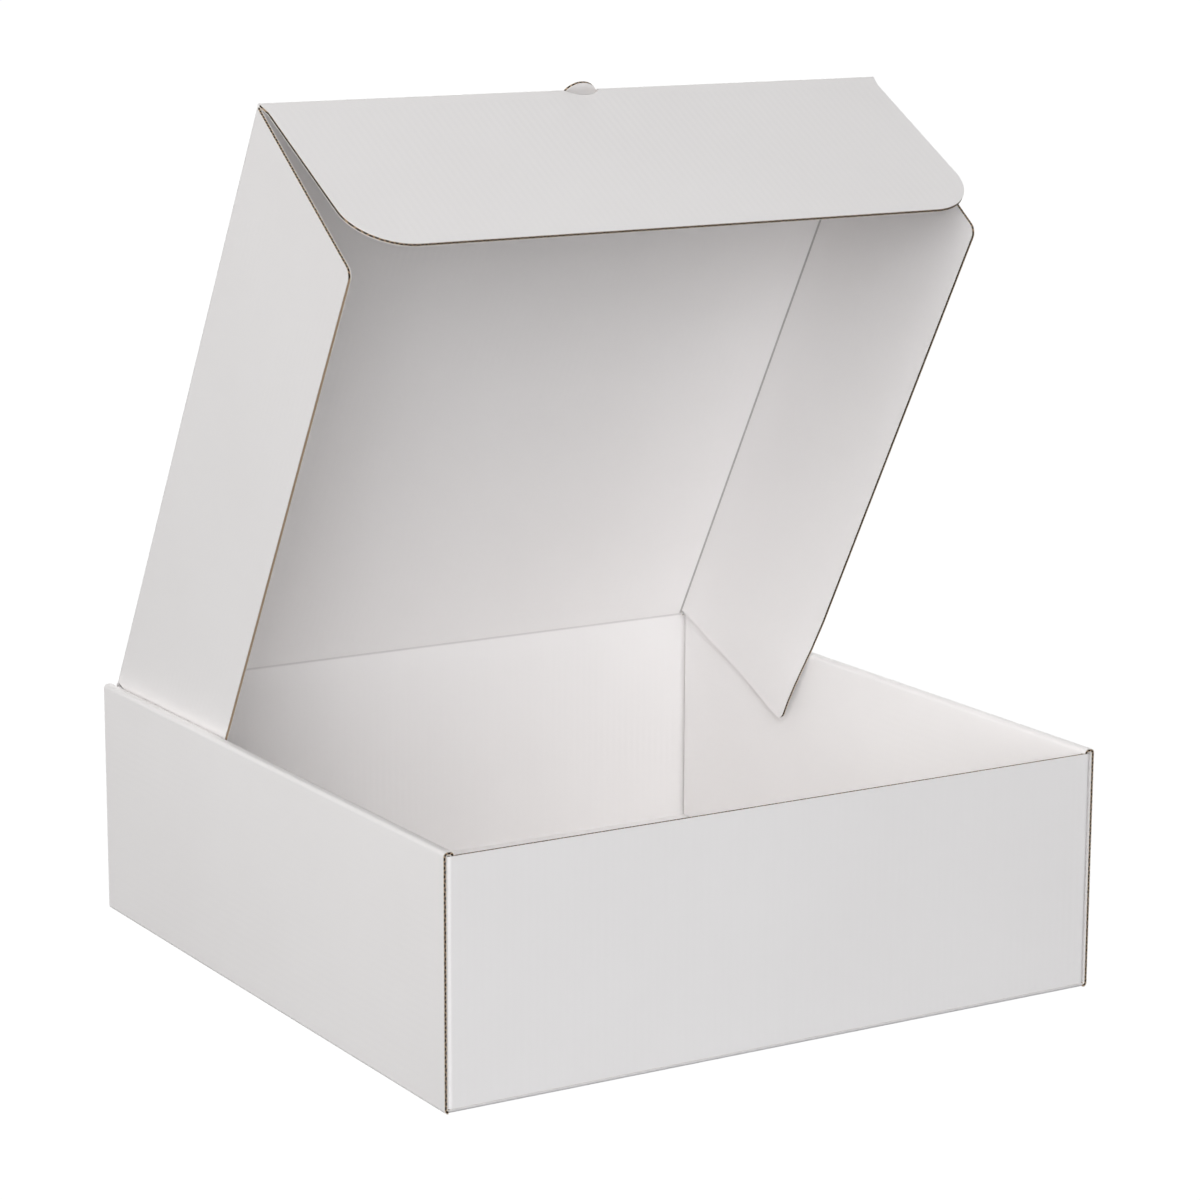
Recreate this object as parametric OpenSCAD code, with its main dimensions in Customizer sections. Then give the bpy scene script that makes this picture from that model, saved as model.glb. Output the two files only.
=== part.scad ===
// Folding box of thin white-lined corrugated board with rolled side walls,
// a hinged lid with two side flaps, a front tuck flap and a thumb tab.
// The lid is drawn part open, leaning forward over the tray.
// Millimetres. X is the width, Y the depth with the front at -Y, Z is up.

/* [Parts] */
// Part to draw

/* [Box size] */
// Clear width between the rolled side walls
inner_w = 300; // [240:5:360]
// Clear depth between the front and the back wall
inner_d = 310; // [250:5:360]
// Height to the top of the rolled side walls
box_h = 104; // [80:1:140]

/* [Board] */
// Thickness of the board
board = 1.5; // [1.2:0.1:1.8]
// Air between the layers of a side wall
layer_gap = 0.2; // [0.15:0.05:0.3]
// Inside radius of a fold
fold_in = 0.4; // [0.2:0.1:0.6]

/* [Side walls] */
// Length of the corner flaps held between the wall layers
corner_flap_len = 88; // [60:2:100]
// Cut at the free corners of a corner flap
corner_flap_cut = 12; // [6:1:20]
// Distance of the inner side panels from the front and back walls
panel_end_gap = 0.8; // [0.5:0.1:1.5]
// Length of a locking tab on an inner side panel
lock_len = 28; // [18:2:40]
// Distance of a locking tab from the middle of the wall
lock_pos = 78; // [50:2:90]

/* [Lid] */
// Angle of the lid from closed
lid_open = 60.5; // [0:0.5:120]
// Free space at each side of the lid between the rolled walls
lid_side_clear = 0.9; // [0.6:0.1:1.5]
// Free space between the tuck fold and the front wall, lid closed
lid_front_clear = 1.4; // [1:0.1:2]
// Depth of the side flaps below the top of the lid
flap_drop = 97.5; // [70:0.5:97.5]
// Set-back of a side flap behind the tuck fold at the lid
flap_front_gap = 1.9; // [1.8:0.1:4]
// Further set-back of the front edge at the free edge of a side flap
flap_front_slant = 11.1; // [8:0.2:16]
// Set-back of a side flap at the rear of its free edge
flap_rear_slant = 16.3; // [10:0.1:24]
// Radius of the front free corner of a side flap
flap_round = 4; // [2:0.5:8]

/* [Tuck flap] */
// Depth of the tuck flap from the middle of its fold
tuck_depth = 98.6; // [70:0.2:98.6]
// Radius of the free corners
tuck_round = 25; // [10:1:35]
// Side clearance of the tuck flap between the side flaps
tuck_side_clear = 0.4; // [0.3:0.1:1]
// Length over which the tuck flap narrows below its fold
tuck_neck = 7; // [4:0.5:9]

/* [Thumb tab] */
// Width of the half-moon tab at the fold
tab_w = 14; // [12:0.2:20]
// Reach of the tab beyond the fold
tab_reach = 3.2; // [2.8:0.1:4]
// Depth of the notch below the middle of the tuck fold
notch_deep = 4.8; // [4:0.1:6]

/* [Hidden] */
$fn = 64;

white_board = [0.87, 0.86, 0.85];
// Overshoot of the shapes that cut, lap of the shapes that join, and air below a free edge
cut_over = 1;
lap = 0.1;
foot_gap = 0.3;

fold_r = board + fold_in;
wall = 3 * board + 2 * layer_gap;
outer_w = inner_w + 2 * wall;
outer_d = inner_d + 2 * board;
half_w = outer_w / 2;
half_d = outer_d / 2;

// The end walls stop just below the inner bend of the rolls.
roll_clear = 0.15;
end_wall_h = box_h - fold_r - roll_clear;
flap_face = half_w - board - layer_gap;
flap_foot = fold_r + foot_gap;
panel_foot = board + foot_gap;
slot_gap = 0.3;
lock_foot = foot_gap;
bend_short = 0.2;

// The lid turns on the middle of its board, just above the back wall.
hinge_clear = 0.2;
hinge_y = half_d - board / 2;
hinge_z = end_wall_h + hinge_clear + board / 2;
lid_w = inner_w - 2 * lid_side_clear;
tuck_fold_y = inner_d / 2 - lid_front_clear - board / 2;
lid_reach = hinge_y + tuck_fold_y;
tuck_fold_gap = 0.35;
lid_edge = lid_reach - board / 2 - tuck_fold_gap;
lid_skin = board / 2;
nib_in = 0.4;
bend_rear = 3;
slit = 0.3;
flap_front = lid_reach - flap_front_gap;

tab_chord = lid_reach + board / 2;
tab_r = (pow(tab_w / 2, 2) + pow(tab_reach, 2)) / (2 * tab_reach);
tab_mid = tab_chord + tab_reach - tab_r;
tab_clear = 0.3;
notch_half = sqrt(pow(tab_r, 2) - pow(lid_reach - board / 2 - tab_mid, 2)) + tab_clear;
notch_rise = pow(notch_half, 2) + pow(board / 2, 2) - pow(notch_deep, 2);
notch_mid = notch_rise / (2 * notch_deep - board);

tuck_top_in = 0.5;
tuck_top_half = lid_w / 2 - tuck_top_in;
tuck_half = lid_w / 2 - board - tuck_side_clear;

// Quarter of a folded board, bent round the origin into the first quadrant.
module bend() {
  intersection() {
    difference() {
      circle(r = fold_r);
      circle(r = fold_in);
    }
    square(fold_r + cut_over);
  }
}

function unit(v) = v / norm(v);

// Waste outside a rounded corner at p, whose edges run to a and b.
module corner_waste(p, a, b, r) {
  da = unit(a - p);
  db = unit(b - p);
  mid = unit(da + db);
  half = acos(da * db) / 2;
  reach = r / tan(half);
  centre = p + mid * (r / sin(half));
  difference() {
    polygon([centre, p + da * reach, p - mid, p + db * reach]);
    translate(centre) circle(r = r);
  }
}

// Drawn in X and Z, run along the depth.
module along_depth(len) {
  translate([0, len / 2, 0]) rotate([90, 0, 0]) linear_extrude(height = len) children();
}

// Drawn in Y and Z, run along the width.
module along_width(len) {
  translate([-len / 2, 0, 0]) rotate([90, 0, 90]) linear_extrude(height = len) children();
}

module both_sides() {
  children();
  mirror([1, 0, 0]) children();
}

module both_ends() {
  children();
  mirror([0, 1, 0]) children();
}

// Bottom sheet with the slots that take the locking tabs.
module base_sheet() {
  slot_in = inner_w / 2 - slot_gap;
  slot_w = board + 2 * slot_gap;
  slot_len = lock_len + 2 * slot_gap;
  difference() {
    translate([-(half_w - fold_r), -(half_d - fold_r), 0])
      cube([outer_w - 2 * fold_r, outer_d - 2 * fold_r, board]);
    both_sides() both_ends()
      translate([slot_in, lock_pos - slot_len / 2, -cut_over])
        cube([slot_w, slot_len, board + 2 * cut_over]);
  }
}

// Outer panel folded up from the base, over into the flat roll and down inside.
module wall_section() {
  fold_out = half_w - fold_r;
  roll_in = half_w - wall + fold_r;
  panel_tall = box_h - fold_r - panel_foot;
  translate([fold_out, fold_r]) mirror([0, 1]) bend();
  translate([half_w - board, fold_r]) square([board, box_h - 2 * fold_r]);
  translate([fold_out, box_h - fold_r]) bend();
  translate([roll_in, box_h - board]) square([wall - 2 * fold_r, board]);
  translate([roll_in, box_h - fold_r]) mirror([1, 0]) bend();
  translate([inner_w / 2, panel_foot]) square([board, panel_tall]);
}

// The inner panel stops short of the front and back walls below the roll.
module side_wall() {
  reach = fold_r + panel_end_gap + board;
  difference() {
    along_depth(outer_d) wall_section();
    both_ends()
      translate([inner_w / 2 - cut_over, inner_d / 2 - panel_end_gap, panel_foot - lap])
        cube([board + cut_over + layer_gap / 2, reach, box_h - fold_r - panel_foot + lap]);
  }
  both_ends()
    translate([inner_w / 2, lock_pos - lock_len / 2, lock_foot])
      cube([board, lock_len, panel_foot + cut_over - lock_foot]);
}

// Front or back wall: bend at the base and a single upright board.
module end_wall() {
  span = 2 * (flap_face - fold_r);
  along_width(outer_w - 2 * (fold_r + bend_short))
    translate([half_d - fold_r, fold_r]) mirror([0, 1]) bend();
  along_width(span)
    translate([half_d - board, fold_r]) square([board, end_wall_h - fold_r]);
}

// Upright corner bend and the flap that lies between the side wall layers.
module corner_flap() {
  tall = end_wall_h - flap_foot;
  translate([flap_face - fold_r, half_d - fold_r, flap_foot])
    linear_extrude(height = tall) bend();
  translate([flap_face, half_d - fold_r, flap_foot])
    rotate([90, 0, -90])
      linear_extrude(height = board)
        polygon([
          [0, 0],
          [corner_flap_len - corner_flap_cut, 0],
          [corner_flap_len, corner_flap_cut],
          [corner_flap_len, tall - corner_flap_cut],
          [corner_flap_len - corner_flap_cut, tall],
          [0, tall]
        ]);
}

module tray() {
  color(white_board) {
    base_sheet();
    both_sides() {
      side_wall();
      both_ends() corner_flap();
    }
    both_ends() end_wall();
  }
}

// Puts what is drawn for the closed lid, hinge at the origin, where it stands.
module lid_place() {
  translate([0, hinge_y, hinge_z]) rotate([-lid_open, 0, 0]) children();
}

// Outline in distance from the hinge and depth below the lid, set upright.
module upright_plate(x) {
  translate([x, 0, 0]) rotate([-90, 0, -90]) linear_extrude(height = board) children();
}

module lid_panel() {
  wide = lid_w / 2 - fold_r;
  edge = lid_w / 2 - nib_in;
  strip = lid_edge - flap_front - slit;
  translate([-wide, -lid_edge, -lid_skin]) cube([2 * wide, lid_edge, board]);
  translate([-edge, -lid_edge, -lid_skin]) cube([2 * edge, strip, board]);
  translate([-edge, -bend_rear + slit, -lid_skin]) cube([2 * edge, bend_rear - slit, board]);
  translate([-edge, 0, 0]) rotate([0, 90, 0]) cylinder(r = board / 2, h = 2 * edge);
}

module side_flap() {
  top = fold_r - lid_skin;
  foot = flap_drop - lid_skin;
  front_foot = flap_front - flap_front_slant;
  rear = [bend_rear, top];
  rear_low = [flap_rear_slant, foot];
  front_low = [front_foot, foot];
  front = [flap_front, top];
  translate([lid_w / 2 - fold_r, -bend_rear, -lid_skin + board - fold_r])
    rotate([90, 0, 0]) linear_extrude(height = flap_front - bend_rear) bend();
  upright_plate(lid_w / 2 - board)
    difference() {
      polygon([rear, rear_low, front_low, front]);
      corner_waste(front_low, front, rear_low, flap_round);
      corner_waste(rear_low, rear, front_low, flap_round);
    }
}

// Half-moon tab that stays in the plane of the lid at the tuck fold.
module thumb_tab() {
  translate([0, -tab_mid, -lid_skin])
    linear_extrude(height = board)
      intersection() {
        circle(r = tab_r);
        translate([-tab_r, -tab_r - cut_over])
          square([2 * tab_r, tab_r + 2 * cut_over - (lid_edge - tab_mid)]);
      }
}

module lid() {
  color(white_board)
    lid_place() {
      lid_panel();
      both_sides() side_flap();
      thumb_tab();
    }
}

// Section of the tuck flap with its rounded fold edge, in Y and Z.
module tuck_section() {
  circle(r = board / 2);
  translate([-board / 2, -tuck_depth]) square([board, tuck_depth]);
}

module tuck_outline() {
  low_left = [-tuck_half, -tuck_depth];
  low_right = [tuck_half, -tuck_depth];
  neck_left = [-tuck_half, -tuck_neck];
  neck_right = [tuck_half, -tuck_neck];
  difference() {
    polygon([
      [-tuck_top_half, board],
      [-tuck_top_half, 0],
      neck_left,
      low_left,
      low_right,
      neck_right,
      [tuck_top_half, 0],
      [tuck_top_half, board]
    ]);
    corner_waste(low_left, neck_left, low_right, tuck_round);
    corner_waste(low_right, neck_right, low_left, tuck_round);
    translate([0, notch_mid]) circle(r = notch_mid + notch_deep);
  }
}

// Front flap with the notch that the thumb tab is cut from.
module tuck_flap() {
  color(white_board)
    lid_place()
      translate([0, -lid_reach, 0])
        intersection() {
          along_width(lid_w) tuck_section();
          translate([0, board, 0]) rotate([90, 0, 0])
            linear_extrude(height = 2 * board) tuck_outline();
        }
}

tray();
lid();
tuck_flap();
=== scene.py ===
from math import cos, hypot, pi, radians, sin

import bpy
from mathutils import Matrix, Vector


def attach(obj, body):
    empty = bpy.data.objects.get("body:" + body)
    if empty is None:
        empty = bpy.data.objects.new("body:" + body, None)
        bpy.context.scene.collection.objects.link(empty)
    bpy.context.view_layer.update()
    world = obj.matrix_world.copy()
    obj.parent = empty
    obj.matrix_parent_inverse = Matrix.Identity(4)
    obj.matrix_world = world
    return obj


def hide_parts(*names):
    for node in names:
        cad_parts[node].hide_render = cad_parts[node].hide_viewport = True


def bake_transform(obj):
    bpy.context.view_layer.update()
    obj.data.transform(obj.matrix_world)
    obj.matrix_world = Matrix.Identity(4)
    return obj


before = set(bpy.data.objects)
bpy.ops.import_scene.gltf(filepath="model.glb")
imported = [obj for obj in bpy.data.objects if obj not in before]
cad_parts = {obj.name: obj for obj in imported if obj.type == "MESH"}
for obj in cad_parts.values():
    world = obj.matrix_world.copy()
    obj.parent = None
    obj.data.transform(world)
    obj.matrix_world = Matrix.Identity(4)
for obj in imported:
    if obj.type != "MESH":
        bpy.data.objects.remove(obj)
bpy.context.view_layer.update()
print("frame loaded")

# One board thickness and the fold sizes run through every piece.
mm = 0.001
board = {"thick": 1.5 * mm, "fold": 1.9 * mm, "pitch": 3.4 * mm}
halfThick = board["thick"] / 2
midFold = board["fold"] - halfThick
guard = 0.35 * mm  # short flat kept beside each bend
tiny = 1e-5
lidPose = {"hinge": Vector((0, 155.75 * mm, 102.9 * mm)), "open": radians(60.5), "reach": 308.6 * mm}


# Small helpers

def deselectAll():
    if bpy.context.mode != "OBJECT":
        bpy.ops.object.mode_set(mode="OBJECT")
    bpy.ops.object.select_all(action="DESELECT")


def activate(obj):
    deselectAll()
    obj.select_set(True)
    bpy.context.view_layer.objects.active = obj


def pickVerts(obj, test):
    activate(obj)
    mesh = obj.data
    for part in (mesh.polygons, mesh.edges, mesh.vertices):
        part.foreach_set("select", [False] * len(part))
    mesh.vertices.foreach_set("select", [test(v.co) for v in mesh.vertices])
    bpy.ops.object.mode_set(mode="EDIT")
    bpy.ops.mesh.select_mode(type="VERT")


def pickFaces(obj, test):
    activate(obj)
    mesh = obj.data
    for part in (mesh.polygons, mesh.edges, mesh.vertices):
        part.foreach_set("select", [False] * len(part))
    mesh.polygons.foreach_set("select", [test(f) for f in mesh.polygons])
    bpy.ops.object.mode_set(mode="EDIT")
    bpy.ops.mesh.select_mode(type="FACE")


def moveVerts(obj, test, by):
    pickVerts(obj, test)
    bpy.ops.transform.translate(value=by)
    bpy.ops.object.mode_set(mode="OBJECT")


def roundVerts(obj, test, size, segments):
    pickVerts(obj, test)
    bpy.ops.mesh.bevel(offset=size, segments=segments, affect="VERTICES")
    bpy.ops.object.mode_set(mode="OBJECT")


def settle(obj, place):
    activate(obj)
    obj.matrix_world = place
    bpy.ops.object.transform_apply(location=True, rotation=True, scale=True)


def setMarks(mesh, name, values):
    mesh.attributes.new(name, "FLOAT", "POINT").data.foreach_set("value", values)


def cutAway(obj, cutter, name):
    # The cut takes the cut-edge material from the cutter, which is then removed.
    bpy.ops.object.transform_apply(location=True, rotation=True, scale=True)
    cutter.data.materials.append(edgeLook)
    activate(obj)
    cut = obj.modifiers.new(name, "BOOLEAN")
    cut.object = cutter
    cut.operation = "DIFFERENCE"
    cut.material_mode = "TRANSFER"
    bpy.ops.object.modifier_apply(modifier=cut.name)
    bpy.data.objects.remove(cutter, do_unlink=True)


def addPiece(obj, body):
    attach(obj, body)
    return obj


# A folded strip of board is drawn as its middle surface: profile in X and Z, run along Y.

def startStrip(name, start, heading, length, run):
    bpy.ops.mesh.primitive_plane_add(size=1)
    obj = bpy.context.object
    obj.name = name
    mid = (start[0] + cos(heading) * length / 2, 0, start[1] + sin(heading) * length / 2)
    turn = Matrix.Rotation(-heading, 4, "Y")
    settle(obj, Matrix.Translation(mid) @ turn @ Matrix.Diagonal((length, run, 1, 1)))
    return obj


def foldOn(obj, start, heading, folds):
    x, z = start
    path = [(x, z)]
    for kind, size, *more in folds:
        pickVerts(obj, lambda c: hypot(c.x - x, c.z - z) < tiny)
        if kind == "flat":
            step = (cos(heading) * size, 0, sin(heading) * size)
            bpy.ops.mesh.extrude_region_move(TRANSFORM_OT_translate={"value": step})
            x, z = x + step[0], z + step[2]
            path.append((x, z))
        else:
            side = 1 if size > 0 else -1
            radius = more[0]
            steps = more[1] if len(more) > 1 else 6
            cx, cz = x - sin(heading) * radius * side, z + cos(heading) * radius * side
            bpy.ops.mesh.spin(steps=steps, angle=abs(size), center=(cx, 0, cz), axis=(0, side, 0))
            for k in range(1, steps + 1):
                a = size * k / steps
                dx, dz = x - cx, z - cz
                path.append((cx + dx * cos(a) - dz * sin(a), cz + dx * sin(a) + dz * cos(a)))
            x, z = path[-1]
            heading += size
        bpy.ops.object.mode_set(mode="OBJECT")
    return path


def arcAlong(path):
    marks, total = [], 0.0
    for a, b in zip(path, path[1:]):
        span = hypot(b[0] - a[0], b[1] - a[1])
        marks.append((a, b, total, span))
        total += span

    def arc(co):
        best, found = 1e9, 0.0
        for a, b, done, span in marks:
            tx, tz = (b[0] - a[0]) / span, (b[1] - a[1]) / span
            s = min(max((co.x - a[0]) * tx + (co.z - a[1]) * tz, 0), span)
            away = hypot(co.x - a[0] - tx * s, co.z - a[1] - tz * s)
            if away < best:
                best, found = away, done + s
        return found

    return arc


def makeBoard(obj, arc, rim=1):
    mesh = obj.data
    setMarks(mesh, "boardArc", [arc(v.co) for v in mesh.vertices])
    count = len(mesh.vertices)
    activate(obj)
    mesh.materials.clear()
    mesh.materials.append(faceLook)
    mesh.materials.append(edgeLook)
    solid = obj.modifiers.new("thickness", "SOLIDIFY")
    solid.thickness = board["thick"]
    solid.offset = 0
    solid.use_even_offset = True
    solid.material_offset_rim = rim
    bpy.ops.object.modifier_apply(modifier=solid.name)
    through = [0.0 if k < count else 1.0 for k in range(len(obj.data.vertices))]
    setMarks(obj.data, "boardThrough", through)
    bpy.ops.object.shade_smooth_by_angle(angle=radians(32))


# Paints a thin darker line on the inside of a fold. It is partly the liner crushed by the fold and partly painted
# shade where the fold's inside gets less light.

def markFoldShade(obj, centres, reach, depth=1.0):
    near = lambda co: any(hypot(co.x - x, co.z - z) < reach for x, z in centres)
    setMarks(obj.data, "boardPaintedShade", [depth if near(v.co) else 0.0 for v in obj.data.vertices])


# Materials

def newMaterial(name):
    mat = bpy.data.materials.new(name)
    mat.use_nodes = True
    nodes, links = mat.node_tree.nodes, mat.node_tree.links
    return mat, nodes, links, nodes["Principled BSDF"]


def mathNode(tree, op, a, b=None):
    node = tree.nodes.new("ShaderNodeMath")
    node.operation = op
    for k, value in enumerate((a, b)):
        if value is None:
            continue
        if isinstance(value, (int, float)):
            node.inputs[k].default_value = value
        else:
            tree.links.new(value, node.inputs[k])
    return node.outputs[0]


def attributeNode(tree, name):
    node = tree.nodes.new("ShaderNodeAttribute")
    node.attribute_name = name
    return node.outputs["Fac"]


# The darker colour (0.5, 0.48, 0.47) is painted shade for the inside of folds and for shaded corner bends.
faceSet = {
    "white": (0.948, 0.928, 0.92, 1), "dull": (0.928, 0.906, 0.898, 1),
    "shadeColour": (0.5, 0.48, 0.47, 1), "rough": 0.55, "specular": 0.3,
    "cloudScale": 9, "cloudDetail": 4, "cloudFrom": 0.35, "cloudTo": 0.7,
    "fibreScale": 900, "fibreDetail": 3, "fibreShare": 0.2, "bump": 0.4, "bumpHigh": 0.00004,
}


def makeFaceLook():
    mat, nodes, links, shader = newMaterial("whiteLiner")
    tree = mat.node_tree
    place = nodes.new("ShaderNodeTexCoord")
    cloud = nodes.new("ShaderNodeTexNoise")
    cloud.inputs["Scale"].default_value = faceSet["cloudScale"]
    cloud.inputs["Detail"].default_value = faceSet["cloudDetail"]
    links.new(place.outputs["Object"], cloud.inputs["Vector"])
    ramp = nodes.new("ShaderNodeMapRange")
    ramp.inputs["From Min"].default_value = faceSet["cloudFrom"]
    ramp.inputs["From Max"].default_value = faceSet["cloudTo"]
    links.new(cloud.outputs["Fac"], ramp.inputs["Value"])
    mix = nodes.new("ShaderNodeMix")
    mix.data_type = "RGBA"
    mix.inputs["A"].default_value = faceSet["white"]
    mix.inputs["B"].default_value = faceSet["dull"]
    links.new(ramp.outputs["Result"], mix.inputs["Factor"])
    # Painted shade: the fold and corner marks mix the darker colour into the liner.
    shadeColour = nodes.new("ShaderNodeMix")
    shadeColour.data_type = "RGBA"
    shadeColour.inputs["B"].default_value = faceSet["shadeColour"]
    links.new(attributeNode(tree, "boardPaintedShade"), shadeColour.inputs["Factor"])
    links.new(mix.outputs["Result"], shadeColour.inputs["A"])
    links.new(shadeColour.outputs["Result"], shader.inputs["Base Color"])
    shader.inputs["Roughness"].default_value = faceSet["rough"]
    shader.inputs["Specular IOR Level"].default_value = faceSet["specular"]

    # The flutes under the liner show as a very faint washboard.
    turns = mathNode(tree, "MULTIPLY", attributeNode(tree, "boardArc"), 2 * pi / board["pitch"])
    washboard = mathNode(tree, "MULTIPLY", mathNode(tree, "SINE", turns), 0.5)
    fibre = nodes.new("ShaderNodeTexNoise")
    fibre.inputs["Scale"].default_value = faceSet["fibreScale"]
    fibre.inputs["Detail"].default_value = faceSet["fibreDetail"]
    links.new(place.outputs["Object"], fibre.inputs["Vector"])
    fuzz = mathNode(tree, "MULTIPLY", fibre.outputs["Fac"], faceSet["fibreShare"])
    height = mathNode(tree, "ADD", washboard, fuzz)
    bump = nodes.new("ShaderNodeBump")
    bump.inputs["Strength"].default_value = faceSet["bump"]
    bump.inputs["Distance"].default_value = faceSet["bumpHigh"]
    links.new(height, bump.inputs["Height"])
    links.new(bump.outputs["Normal"], shader.inputs["Normal"])
    return mat


# The near-black colour between the flutes is painted shade inside the open hollows of the cut edge.
edgeSet = {
    "liner": (0.82, 0.78, 0.72, 1), "medium": (0.42, 0.3, 0.2, 1), "hollowShade": (0.02, 0.013, 0.009, 1),
    "linerShare": 0.19, "mediumShare": 0.05, "height": 0.24, "steep": 1.7, "cross": 7.0, "narrow": 6.0,
    "rough": 0.85, "specular": 0.15,
}


def makeEdgeLook():
    mat, nodes, links, shader = newMaterial("cutEdge")
    tree = mat.node_tree
    through = attributeNode(tree, "boardThrough")
    turns = mathNode(tree, "MULTIPLY", attributeNode(tree, "boardArc"), 2 * pi / board["pitch"])
    # The flute runs steeply from liner to liner, so its cut is thickest half way.
    swing = mathNode(tree, "MULTIPLY", mathNode(tree, "SINE", turns), edgeSet["steep"])
    flat = mathNode(tree, "MINIMUM", mathNode(tree, "MAXIMUM", swing, -1.0), 1.0)
    wave = mathNode(tree, "ADD", mathNode(tree, "MULTIPLY", flat, edgeSet["height"]), 0.5)
    away = mathNode(tree, "ABSOLUTE", mathNode(tree, "SUBTRACT", through, wave))
    level = mathNode(tree, "ABSOLUTE", mathNode(tree, "COSINE", turns))
    slope = mathNode(tree, "POWER", level, edgeSet["narrow"])
    thicker = mathNode(tree, "ADD", mathNode(tree, "MULTIPLY", slope, edgeSet["cross"]), 1.0)
    share = mathNode(tree, "MULTIPLY", thicker, edgeSet["mediumShare"])
    onMedium = mathNode(tree, "LESS_THAN", away, share)
    fromMid = mathNode(tree, "ABSOLUTE", mathNode(tree, "SUBTRACT", through, 0.5))
    onLiner = mathNode(tree, "GREATER_THAN", fromMid, 0.5 - edgeSet["linerShare"])
    # Painted shade: away from the liners and the flute paper, the cut edge is coloured near black to stand in for
    # the depth of the open flutes.
    first = nodes.new("ShaderNodeMix")
    first.data_type = "RGBA"
    first.inputs["A"].default_value = edgeSet["hollowShade"]
    first.inputs["B"].default_value = edgeSet["medium"]
    links.new(onMedium, first.inputs["Factor"])
    second = nodes.new("ShaderNodeMix")
    second.data_type = "RGBA"
    second.inputs["B"].default_value = edgeSet["liner"]
    links.new(first.outputs["Result"], second.inputs["A"])
    links.new(onLiner, second.inputs["Factor"])
    links.new(second.outputs["Result"], shader.inputs["Base Color"])
    shader.inputs["Roughness"].default_value = edgeSet["rough"]
    shader.inputs["Specular IOR Level"].default_value = edgeSet["specular"]
    return mat


faceLook = makeFaceLook()
edgeLook = makeEdgeLook()
print("materials ready")


# Tray

tray = {"halfWide": 154.9, "halfDeep": 156.5, "high": 104.0, "inner": 150.0, "endTop": 101.95, "panelFoot": 1.8}
panelMid = tray["inner"] * mm + halfThick
sideSet = {"station": 0.3, "rollDeep": 2.1, "panelShort": 2.8}


def sideWall(name, sign):
    wallX, station = tray["halfWide"] * mm - halfThick, sideSet["station"] * mm
    upright = tray["high"] * mm - 2 * board["fold"]
    foot = (wallX, board["fold"])
    top = (wallX, board["fold"] + upright)
    obj = startStrip(name, foot, pi / 2, upright, 2 * tray["halfDeep"] * mm)
    rollFlat = (tray["halfWide"] - tray["inner"]) * mm - 2 * board["fold"]
    down = (tray["high"] - tray["panelFoot"]) * mm - board["fold"]
    path = foldOn(obj, top, pi / 2, [
        ("bend", pi / 2, midFold), ("flat", rollFlat), ("bend", pi / 2, midFold),
        ("flat", station), ("flat", down - station),
    ])
    low = foldOn(obj, foot, -pi / 2, [("bend", -pi / 2, midFold)])
    path = list(reversed(low)) + path
    # The inner panel ends short of the front and back walls.
    belowRoll = (tray["high"] - sideSet["rollDeep"]) * mm
    onPanel = lambda c: abs(c.x - panelMid) < tiny and c.z < belowRoll
    for end in (-1, 1):
        moveVerts(obj, lambda c: onPanel(c) and c.y * end > 0.1, (0, -end * sideSet["panelShort"] * mm, 0))
    makeBoard(obj, arcAlong(path))
    settle(obj, Matrix.Diagonal((sign, 1, 1, 1)))
    if sign < 0:
        pickFaces(obj, lambda f: True)
        bpy.ops.mesh.flip_normals()
        bpy.ops.object.mode_set(mode="OBJECT")
    return addPiece(obj, "tray")


endSet = {
    "foldIn": 1.7, "flapLong": 88, "flapLift": 0.3, "cornerCut": 12, "backLower": 0.05,
    "shadeFrom": 1.5, "shade": 0.8,
}


def endWall(name, front):
    top = tray["endTop"] * mm
    foldX = (tray["halfWide"] - endSet["foldIn"]) * mm
    flapX = foldX - halfThick
    bendZ = tray["halfDeep"] * mm - board["fold"]
    flapLong = endSet["flapLong"] * mm
    across = 2 * (foldX - board["fold"])
    start = (-flapX, bendZ - flapLong)
    wallTop = top if front else top - endSet["backLower"] * mm
    tall = wallTop - board["fold"]
    obj = startStrip(name, start, pi / 2, flapLong, tall)
    path = [start] + foldOn(obj, (-flapX, bendZ), pi / 2, [
        ("bend", -pi / 2, midFold), ("flat", guard), ("flat", across - 2 * guard), ("flat", guard),
        ("bend", -pi / 2, midFold), ("flat", flapLong),
    ])
    moveVerts(obj, lambda c: abs(c.x) > flapX - tiny and c.y < 0, (0, endSet["flapLift"] * mm, 0))
    endZ = bendZ - flapLong
    roundVerts(obj, lambda c: c.z < endZ + 10 * tiny, endSet["cornerCut"] * mm, 1)
    makeBoard(obj, arcAlong(path))
    # Painted shade: the outer half of each corner bend is darkened where it lies in the shade of the side panel's
    # edge.
    shadeFrom = across / 2 + endSet["shadeFrom"] * mm
    inShade = lambda co: abs(co.x) > shadeFrom and co.z > bendZ - tiny
    setMarks(obj.data, "boardPaintedShade", [endSet["shade"] if inShade(v.co) else 0.0 for v in obj.data.vertices])
    turn = Matrix.Rotation(pi / 2, 4, "X")
    lift = Matrix.Translation((0, 0, board["fold"] + tall / 2))
    place = lift @ turn
    if not front:
        place = Matrix.Rotation(pi, 4, "Z") @ place
    settle(obj, place)
    return addPiece(obj, "tray")


lockSet = {"y": 78, "long": 28, "foot": 0.3, "slotWide": 2.1, "slotLong": 28.6, "cutDeep": 4}


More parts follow.
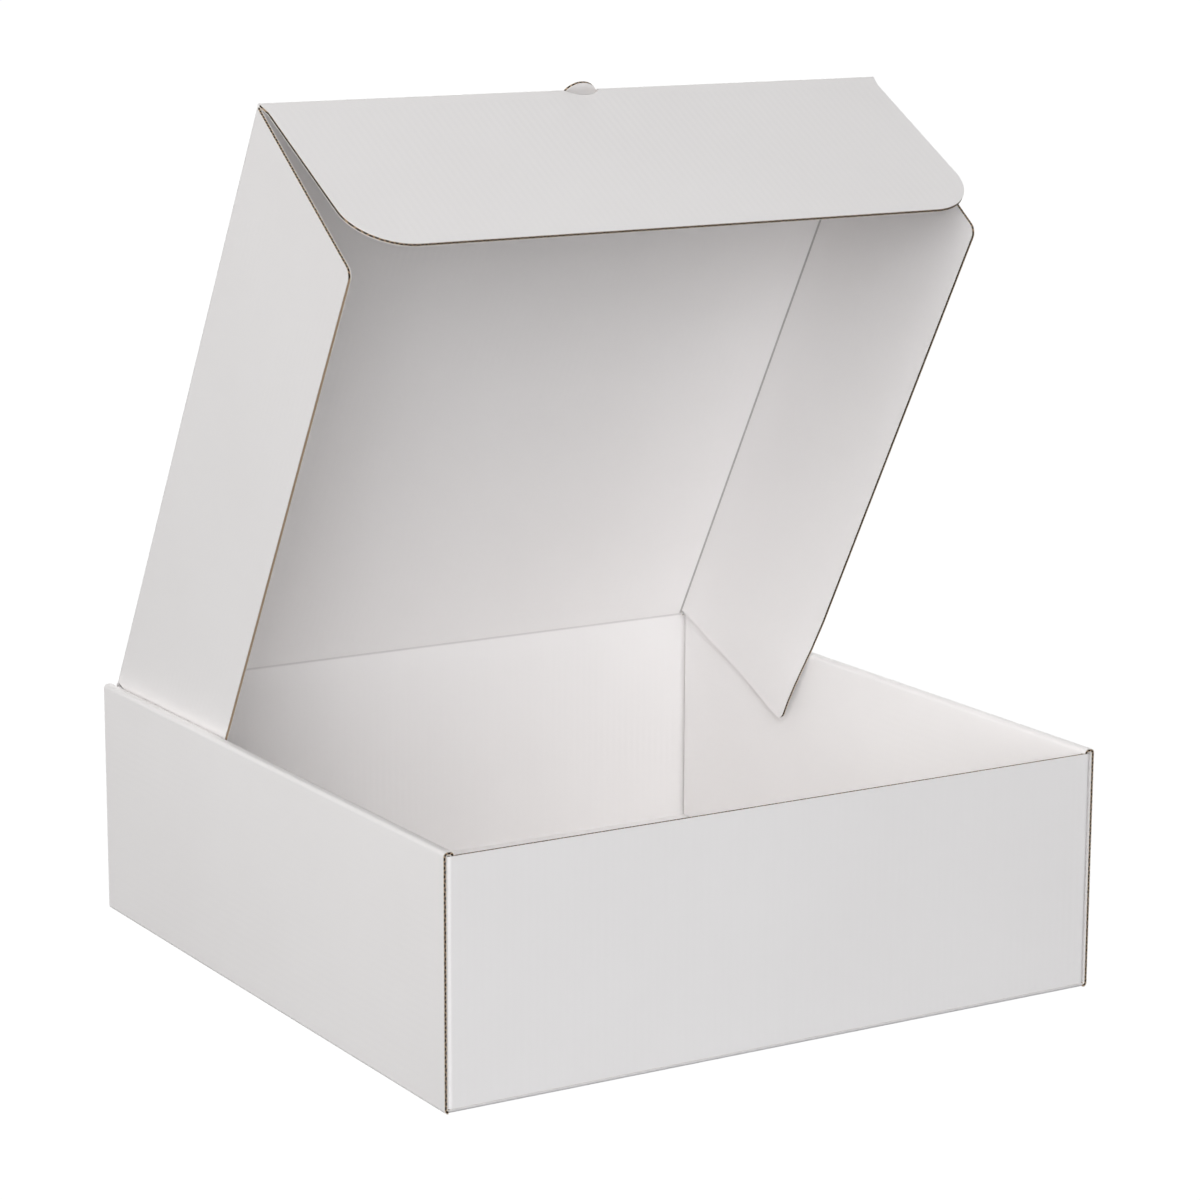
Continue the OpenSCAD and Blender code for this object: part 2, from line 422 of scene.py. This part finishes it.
def baseSheet():
    inner, level = tray["halfDeep"] * mm - board["fold"] - guard, halfThick
    wide = 2 * (tray["halfWide"] * mm - board["fold"])
    obj = startStrip("baseSheet", (-inner, level), 0, 2 * inner, wide)
    foldOn(obj, (inner, level), 0, [("flat", guard), ("bend", pi / 2, midFold)])
    foldOn(obj, (-inner, level), pi, [("flat", guard), ("bend", -pi / 2, midFold)])
    makeBoard(obj, lambda co: co.y)
    settle(obj, Matrix.Rotation(pi / 2, 4, "Z"))
    for sx in (-1, 1):
        for sy in (-1, 1):
            place = (sx * panelMid, sy * lockSet["y"] * mm, halfThick)
            bpy.ops.mesh.primitive_cube_add(size=1, location=place)
            cutter = bpy.context.object
            cutter.scale = (lockSet["slotWide"] * mm, lockSet["slotLong"] * mm, lockSet["cutDeep"] * mm)
            cutAway(obj, cutter, "slot")
    return addPiece(obj, "tray")


def lockTab(name, sx, sy):
    foot, top = lockSet["foot"] * mm, tray["panelFoot"] * mm
    obj = startStrip(name, (panelMid, foot), pi / 2, top - foot, lockSet["long"] * mm)
    makeBoard(obj, lambda co: co.z)
    settle(obj, Matrix.Translation(((sx - 1) * panelMid, lockSet["y"] * sy * mm, 0)))
    addPiece(obj, "tray")


rightWall = sideWall("sideWallRight", 1)
sideWall("sideWallLeft", -1)
endWall("frontWall", True)
endWall("backWall", False)
baseSheet()
for sx, side in ((-1, "Left"), (1, "Right")):
    for sy, end in ((-1, "Front"), (1, "Back")):
        lockTab("lockTab" + side + end, sx, sy)
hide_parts("tray")
print("tray built")


# Lid, drawn closed with its hinge at the origin and then turned to where it stands

lid = {
    "half": 149.1, "drop": 97.5, "frontAt": 306.8, "slant": 11.2, "rearAt": 3.0, "rearSlant": 16.3,
    "round": 4.0, "startAt": 1.0,
}
# The rear free corner of the right flap curls inward a little.
lidCurl = {
    "in": 2.6, "size": 48, "at": 30,
    "rows": (20, 35, 50, 62, 72, 80, 87), "columns": (12, 20, 28, 37, 47, 60, 76, 100),
}
lidStart = lid["startAt"] * mm
lidPlace = Matrix.Translation(lidPose["hinge"]) @ Matrix.Rotation(-lidPose["open"], 4, "X")


def lidBoard():
    half = lid["half"] * mm
    low = -(lid["drop"] * mm - halfThick)
    foldZ = -midFold
    run = lidPose["reach"] - midFold - lidStart
    side, long = half - halfThick, foldZ - low - guard
    across = 2 * half - 2 * board["fold"]
    obj = startStrip("lidBoard", (-side, low), pi / 2, long, run)
    path = [(-side, low)] + foldOn(obj, (-side, foldZ - guard), pi / 2, [
        ("flat", guard), ("bend", -pi / 2, midFold), ("flat", guard), ("flat", across - 2 * guard),
        ("flat", guard), ("bend", -pi / 2, midFold), ("flat", guard), ("flat", long),
    ])
    activate(obj)
    settle(obj, Matrix.Translation((0, -run / 2 - lidStart, 0)))
    front = -(lidStart + run)
    # Front and rear edges of the side flaps slope; the panel keeps its full depth.
    frontShift = -lid["frontAt"] * mm - front
    flapX = side - tiny
    isFlap = lambda c: abs(c.x) > flapX
    shifts = (
        (lambda c: c.y < -0.2 and c.z < low + tiny, frontShift + lid["slant"] * mm),
        (lambda c: c.y < -0.2 and c.z > low + tiny, frontShift),
        (lambda c: c.y > -0.01 and c.z < low + tiny, lidStart - lid["rearSlant"] * mm),
        (lambda c: c.y > -0.01 and c.z > low + tiny, lidStart - lid["rearAt"] * mm),
    )
    for atEnd, shift in shifts:
        moveVerts(obj, lambda c: isFlap(c) and atEnd(c), (0, shift, 0))
    roundVerts(obj, lambda c: isFlap(c) and c.z < low + tiny, lid["round"] * mm, 6)
    # Rows and columns of points let the right flap curl smoothly.
    cuts = [((0, 0, -spot * mm), (0, 0, 1)) for spot in lidCurl["rows"]]
    cuts += [((0, -spot * mm, 0), (0, 1, 0)) for spot in lidCurl["columns"]]
    for centre, facing in cuts:
        pickFaces(obj, lambda f: f.center.x > flapX - 0.1 * mm and abs(f.normal.x) > 0.9)
        bpy.ops.mesh.bisect(plane_co=centre, plane_no=facing)
        bpy.ops.object.mode_set(mode="OBJECT")
    corner = Vector((side, -lidCurl["at"] * mm, low))
    nearest = min((v.co - corner).length for v in obj.data.vertices)
    pickVerts(obj, lambda c: (c - corner).length < nearest + 1e-6)
    bpy.ops.transform.translate(
        value=(-lidCurl["in"] * mm, 0, 0), use_proportional_edit=True, use_proportional_connected=True,
        proportional_edit_falloff="SMOOTH", proportional_size=lidCurl["size"] * mm)
    bpy.ops.object.mode_set(mode="OBJECT")
    makeBoard(obj, arcAlong(path))
    # The liner is pressed over the board at the rear ends of the side folds.
    rearEnd = -lid["rearAt"] * mm - 0.2 * mm
    for face in obj.data.polygons:
        if face.material_index == 1 and abs(face.center.x) > across / 2 and face.center.y > rearEnd:
            face.material_index = 0
    # Painted shade, with some crushed liner, along the inside of the lid's side folds.
    foldIn = board["fold"] - board["thick"]
    markFoldShade(obj, [(-across / 2, foldZ), (across / 2, foldZ)], foldIn + 0.1 * mm)
    settle(obj, lidPlace)
    return addPiece(obj, "lid")


tab = {"wide": 14.0, "reach": 3.2}


def thumbTab():
    radius = ((tab["wide"] / 2) ** 2 + tab["reach"] ** 2) / (2 * tab["reach"])
    mid = lidPose["reach"] + halfThick + (tab["reach"] - radius) * mm
    bpy.ops.mesh.primitive_circle_add(vertices=96, radius=radius * mm, fill_type="NGON", location=(0, -mid, 0))
    obj = bpy.context.object
    obj.name = "thumbTab"
    bpy.ops.object.transform_apply(location=True, rotation=True, scale=True)
    pickVerts(obj, lambda c: True)
    edge = -(lidPose["reach"] - midFold)
    bpy.ops.mesh.bisect(plane_co=(0, edge, 0), plane_no=(0, 1, 0), clear_outer=True)
    bpy.ops.object.mode_set(mode="OBJECT")
    makeBoard(obj, lambda co: co.x)
    settle(obj, lidPlace)
    return addPiece(obj, "lid")


lidPiece = lidBoard()
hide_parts("lid")
thumbTab()
print("lid built")


# Tuck flap

tuck = {
    "topHalf": 148.6, "half": 147.2, "neck": 7, "deep": 98.6, "round": 25,
    "notchHalf": 8.4, "notchDeep": 4.8, "cutDeep": 8,
}


def tuckBoard():
    bpy.ops.mesh.primitive_plane_add(size=1)
    obj = bpy.context.object
    obj.name = "tuckBoard"
    top = midFold
    tall = tuck["deep"] * mm - top
    upright = Matrix.Translation((0, 0, -top - tall / 2)) @ Matrix.Rotation(pi / 2, 4, "X")
    settle(obj, upright @ Matrix.Diagonal((2 * tuck["topHalf"] * mm, tall, 1, 1)))
    neckZ = -tuck["neck"] * mm
    pickVerts(obj, lambda c: True)
    bpy.ops.mesh.bisect(plane_co=(0, 0, neckZ), plane_no=(0, 0, 1))
    bpy.ops.object.mode_set(mode="OBJECT")
    step = (tuck["topHalf"] - tuck["half"]) * mm
    for sx in (-1, 1):
        moveVerts(obj, lambda c: c.x * sx > 0 and c.z < neckZ + tiny, (-sx * step, 0, 0))
    lowZ = -tuck["deep"] * mm
    roundVerts(obj, lambda c: c.z < lowZ + tiny, tuck["round"] * mm, 24)
    # The half-moon notch left by the thumb tab is cut from the top edge.
    deep, half = tuck["notchDeep"] * mm, tuck["notchHalf"] * mm
    mid = (half ** 2 + halfThick ** 2 - deep ** 2) / (2 * (deep - halfThick))
    makeBoard(obj, lambda co: co.x)
    bpy.ops.mesh.primitive_cylinder_add(
        vertices=96, radius=mid + deep, depth=tuck["cutDeep"] * mm, location=(0, 0, mid), rotation=(pi / 2, 0, 0))
    cutter = bpy.context.object
    setMarks(cutter.data, "boardArc", [v.co.x for v in cutter.data.vertices])
    cutAway(obj, cutter, "notch")
    through = [0.5 + v.co.y / board["thick"] for v in obj.data.vertices]
    obj.data.attributes["boardThrough"].data.foreach_set("value", through)
    settle(obj, Matrix.Translation((0, -lidPose["reach"], 0)))
    settle(obj, lidPlace)
    return addPiece(obj, "tuck_flap")


lidFront = lidPose["reach"] - midFold


def tuckCrease(name, fromX, toX):
    # Quarter bend from the lid's front edge down into the tuck flap.
    wide = toX - fromX
    overlap = 0.1 * mm
    obj = startStrip(name, (0, 0), 0, overlap, wide)
    foldOn(obj, (overlap, 0), 0, [("bend", -pi / 2, midFold, 8)])
    makeBoard(obj, lambda co: co.y + fromX + wide / 2, rim=0)
    spin = Matrix(((0, 1, 0, (fromX + toX) / 2), (-1, 0, 0, overlap - lidFront), (0, 0, 1, 0), (0, 0, 0, 1)))
    settle(obj, spin)
    settle(obj, lidPlace)
    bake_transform(obj)


rearFold = {"radius": 1.4, "half": 148.7, "markIn": 0.6, "mark": 0.45}


def lidCrease():
    # Gentle bend from the back wall's top into the rear of the lid.
    turn = pi / 2 - lidPose["open"]
    radius = rearFold["radius"] * mm
    reach = radius * sin(turn / 2) / cos(turn / 2)
    below = lidStart - reach
    hinge = lidPose["hinge"]
    obj = startStrip("lidCrease", (0, -lidStart), pi / 2, below, 2 * rearFold["half"] * mm)
    foldOn(obj, (0, -lidStart + below), pi / 2, [("bend", turn, radius, 6), ("flat", below)])
    makeBoard(obj, lambda co: co.y, rim=0)
    # Painted shade, with some crushed liner, along the inside of the rear bend.
    markFoldShade(obj, [(-radius, below - lidStart)], radius - rearFold["markIn"] * mm, rearFold["mark"])
    spin = Matrix(((0, 1, 0, 0), (1, 0, 0, hinge.y), (0, 0, 1, hinge.z), (0, 0, 0, 1)))
    settle(obj, spin)
    pickFaces(obj, lambda f: True)
    bpy.ops.mesh.normals_make_consistent(inside=False)
    bpy.ops.object.mode_set(mode="OBJECT")
    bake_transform(obj)


tuckPiece = tuckBoard()
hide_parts("tuck_flap")
tuckCrease("tuckCreaseLeft", -tuck["topHalf"] * mm, -tuck["notchHalf"] * mm)
tuckCrease("tuckCreaseRight", tuck["notchHalf"] * mm, tuck["topHalf"] * mm)
lidCrease()
print("tuck flap and creases built")


# Stage, lights and camera

stageSet = {
    "world": 0.01, "floorGlow": 0.97, "glow": 1.06, "floor": (0.32, 0.32, 0.325, 1), "size": 60, "drop": 0.0003,
}


def makeStage():
    bpy.ops.mesh.primitive_plane_add(size=stageSet["size"], location=(0, 0, -stageSet["drop"]))
    floor = bpy.context.object
    floor.name = "floor"
    mat = bpy.data.materials.new("floorWhite")
    mat.use_nodes = True
    nodes, links = mat.node_tree.nodes, mat.node_tree.links
    nodes.clear()
    rays = nodes.new("ShaderNodeLightPath")
    diffuse = nodes.new("ShaderNodeBsdfDiffuse")
    diffuse.inputs["Color"].default_value = stageSet["floor"]
    glow = nodes.new("ShaderNodeEmission")
    glow.inputs["Color"].default_value = (1, 1, 1, 1)
    glow.inputs["Strength"].default_value = stageSet["glow"]
    share = nodes.new("ShaderNodeMath")
    share.operation = "MULTIPLY"
    share.inputs[1].default_value = stageSet["floorGlow"]
    links.new(rays.outputs["Is Camera Ray"], share.inputs[0])
    mix = nodes.new("ShaderNodeMixShader")
    out = nodes.new("ShaderNodeOutputMaterial")
    links.new(share.outputs[0], mix.inputs["Fac"])
    links.new(diffuse.outputs[0], mix.inputs[1])
    links.new(glow.outputs[0], mix.inputs[2])
    links.new(mix.outputs[0], out.inputs["Surface"])
    floor.data.materials.append(mat)

    world = bpy.data.worlds.new("studio")
    bpy.context.scene.world = world
    world.use_nodes = True
    nodes, links = world.node_tree.nodes, world.node_tree.links
    nodes.clear()
    rays = nodes.new("ShaderNodeLightPath")
    seen = nodes.new("ShaderNodeBackground")
    seen.inputs["Color"].default_value = (1, 1, 1, 1)
    fill = nodes.new("ShaderNodeBackground")
    fill.inputs["Color"].default_value = (1, 0.99, 0.985, 1)
    fill.inputs["Strength"].default_value = stageSet["world"]
    mix = nodes.new("ShaderNodeMixShader")
    out = nodes.new("ShaderNodeOutputWorld")
    links.new(rays.outputs["Is Camera Ray"], mix.inputs["Fac"])
    links.new(fill.outputs[0], mix.inputs[1])
    links.new(seen.outputs[0], mix.inputs[2])
    links.new(mix.outputs[0], out.inputs["Surface"])


def softLamp(name, place, aim, size, power, tint):
    bpy.ops.object.light_add(type="AREA", location=place)
    lamp = bpy.context.object
    lamp.name = name
    lamp.data.shape = "SQUARE"
    lamp.data.size = size
    lamp.data.energy = power
    lamp.data.color = tint
    lamp.rotation_euler = (Vector(aim) - Vector(place)).to_track_quat("-Z", "Y").to_euler()


makeStage()
lampSize, lampAim = 3, (0, 0, 0.15)
# Place, watts and tint of each lamp.
lamps = {
    "frontLow": ((-2.6, -4.6, 1.5), 168, (0.965, 0.98, 1.0)),
    "leftSide": ((-4.8, -0.6, 2.0), 95, (1, 0.99, 0.975)),
    "frontHigh": ((-2.4, -3.6, 4.4), 108, (1, 0.995, 0.99)),
    "backFill": ((2.6, 4.6, 2.6), 110, (1, 0.99, 0.985)),
    "rightFill": ((4.8, 0.6, 1.8), 65, (1, 0.985, 0.98)),
}
for name, (place, power, tint) in lamps.items():
    softLamp(name, place, lampAim, lampSize, power, tint)

# Focal length is in pixels of the 1200 wide frame; angles are in radians.
view = {
    "focal": 3741.33, "frame": 1200, "sensor": 36, "yaw": 0.54452, "pitch": 0.21359, "roll": 0.0038,
    "place": (-0.80494, -1.34298, 0.49438),
}


def makeCamera():
    yaw, pitch, roll = view["yaw"], view["pitch"], view["roll"]
    ahead = Vector((sin(yaw) * cos(pitch), cos(yaw) * cos(pitch), -sin(pitch)))
    level = Vector((cos(yaw), -sin(yaw), 0))
    up = level.cross(ahead)
    right = level * cos(roll) + up * sin(roll)
    top = up * cos(roll) - level * sin(roll)
    bpy.ops.object.camera_add(location=view["place"])
    cam = bpy.context.object
    cam.name = "viewCamera"
    cam.data.lens = view["focal"] / view["frame"] * view["sensor"]
    cam.data.sensor_width = view["sensor"]
    cam.data.clip_start = 0.05
    cam.data.clip_end = 100
    cam.rotation_euler = Matrix((right, top, -ahead)).transposed().to_euler()
    bpy.context.scene.camera = cam


makeCamera()
bpy.context.scene.view_settings.view_transform = "Standard"
print("stage ready")
